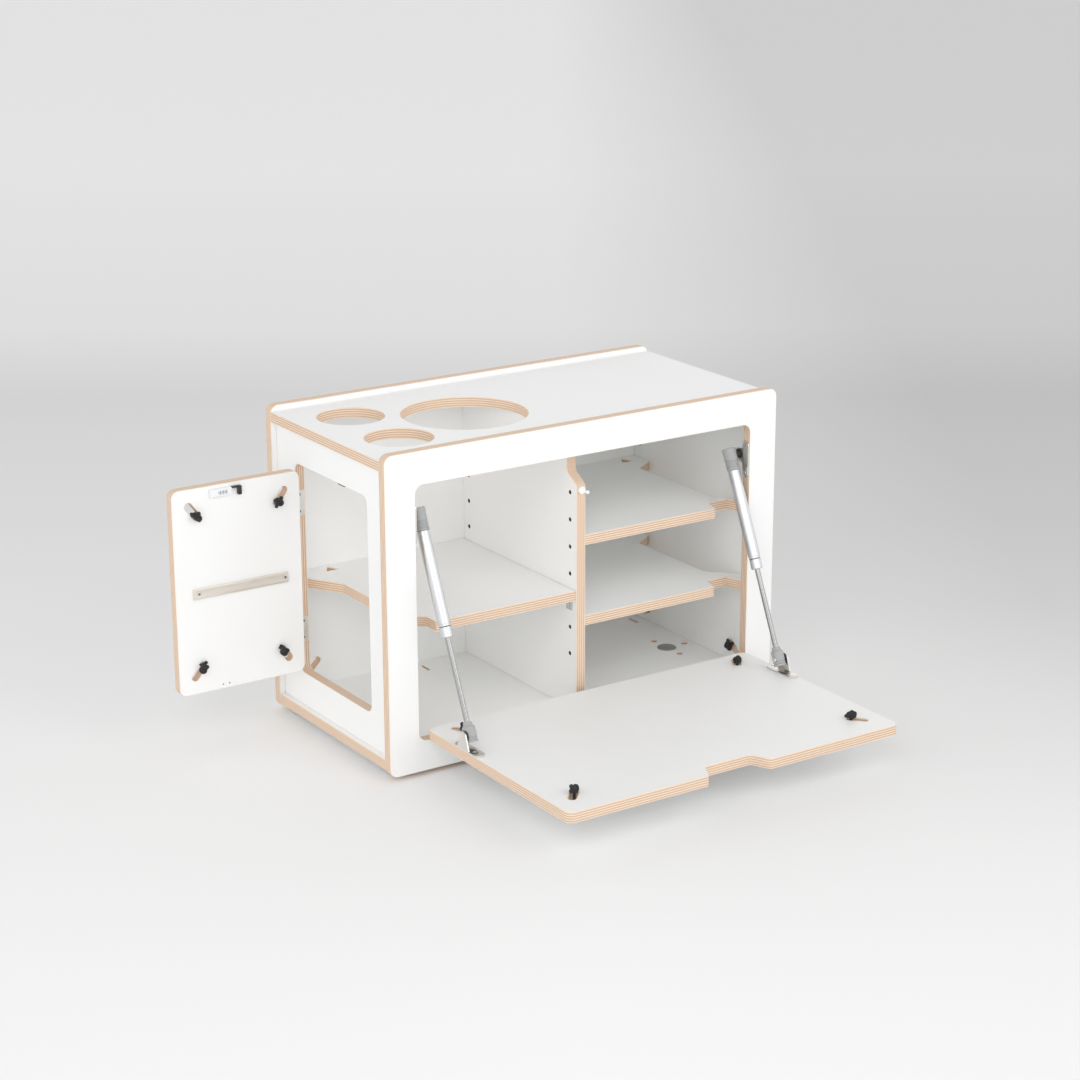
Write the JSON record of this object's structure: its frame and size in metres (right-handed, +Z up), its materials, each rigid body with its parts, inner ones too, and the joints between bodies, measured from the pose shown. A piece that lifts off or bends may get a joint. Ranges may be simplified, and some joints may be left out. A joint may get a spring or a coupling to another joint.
{
  "type": "toy kitchen",
  "caption": "White wooden toy kitchen cabinet with a fold-down front flap on gas struts, a hinged side door, a divider, shelves and round holes in its top.",
  "frame": {"origin": "middle of the bottom board's underside, 12 mm above the floor that the feet stand on", "axes": "+X to the right and +Y to the back as seen from the front, +Z up"},
  "size_m": [0.6785, 0.5481, 0.371],
  "materials": {
    "laminated_plywood": "matt white laminate on birch plywood with bare edges",
    "beech": "bare beech",
    "steel": "satin zinc-plated steel",
    "chromed_steel": "ground and chromed rod",
    "grey_plastic": "moulded grey plastic",
    "black_plastic": "moulded black plastic",
    "white_plastic": "moulded white plastic",
    "clear_plastic": "clear moulded plastic",
    "foot_rubber": "light grey rubber",
    "elastic_cord": "black woven elastic cord"
  },
  "bodies": {
    "cabinet": {"front_frame": "laminated_plywood", "back_panel": "laminated_plywood", "top_panel": "laminated_plywood", "bottom_panel": "laminated_plywood", "left_side_panel": "laminated_plywood", "right_side_panel": "laminated_plywood", "divider": "laminated_plywood", "left_shelf": "laminated_plywood", "right_upper_shelf": "laminated_plywood", "right_lower_shelf": "laminated_plywood", "shelf_supports": "clear_plastic", "dowels": "beech", "feet": "foot_rubber", "foot_screws": "steel", "divider_catch": "white_plastic", "door_strike": "black_plastic", "floor_disc": "steel", "left_upper_bracket": "steel", "right_upper_bracket": "steel", "upper_bracket_screws": "steel", "side_hinge_frame_leaves": "steel", "side_hinge_pins": "steel", "side_hinge_frame_screws": "steel", "flap_hinge_frame_leaves": "steel", "flap_hinge_pins": "steel", "flap_hinge_frame_screws": "steel", "side_panel_cords": "elastic_cord"},
    "door_assembly": {"side_door": "laminated_plywood", "side_hinge_door_leaves": "steel", "side_hinge_door_screws": "steel", "door_bar": "steel", "door_bar_screws": "steel", "door_catch": "white_plastic", "door_catch_lever": "black_plastic", "door_cords": "elastic_cord"},
    "flap_assembly": {"flap": "laminated_plywood", "flap_hinge_leaves": "steel", "flap_hinge_screws": "steel", "left_lower_bracket": "steel", "right_lower_bracket": "steel", "lower_bracket_screws": "steel", "flap_cords": "elastic_cord"},
    "left_strut_rod": {"left_rod": "chromed_steel", "left_rod_head": "grey_plastic", "left_piston": "black_plastic"},
    "left_strut_tube": {"left_tube": "steel", "left_rod_guide": "grey_plastic", "left_tube_head": "grey_plastic"},
    "right_strut_rod": {"right_rod": "chromed_steel", "right_rod_head": "grey_plastic", "right_piston": "black_plastic"},
    "right_strut_tube": {"right_tube": "steel", "right_rod_guide": "grey_plastic", "right_tube_head": "grey_plastic"}
  },
  "joints": [
    {"name": "door_hinge", "type": "hinge", "parent": "cabinet", "child": "door_assembly", "pos_m": [-0.2575, 0.0795, 0.177], "axis": [0, 0, 1], "range_deg": [-75, 90]},
    {"name": "flap_hinge", "type": "hinge", "parent": "cabinet", "child": "flap_assembly", "pos_m": [0, -0.1355, 0.0295], "axis": [-1, 0, 0], "range_deg": [0, 90]},
    {"name": "left_rod_pivot", "type": "hinge", "parent": "flap_assembly", "child": "left_strut_rod", "pos_m": [-0.2084, -0.21211, 0.0592], "axis": [1, 0, 0], "range_deg": [0, 116.5]},
    {"name": "left_tube_slide", "type": "slide", "parent": "left_strut_rod", "child": "left_strut_tube", "axis": [0, 0.4083, 0.9128], "range_m": [-0.0681, 0]},
    {"name": "right_rod_pivot", "type": "hinge", "parent": "flap_assembly", "child": "right_strut_rod", "pos_m": [0.2124, -0.21211, 0.0592], "axis": [1, 0, 0], "range_deg": [0, 116.5]},
    {"name": "right_tube_slide", "type": "slide", "parent": "right_strut_rod", "child": "right_strut_tube", "axis": [0, 0.4083, 0.9128], "range_m": [-0.0681, 0]}
  ],
  "couplings": [
    {"joint": "left_rod_pivot", "follows": "flap_hinge", "ratio": 1.2932},
    {"joint": "left_tube_slide", "follows": "flap_hinge", "m_per_rad": -0.043269},
    {"joint": "right_rod_pivot", "follows": "flap_hinge", "ratio": 1.2932},
    {"joint": "right_tube_slide", "follows": "flap_hinge", "m_per_rad": -0.043269}
  ]
}
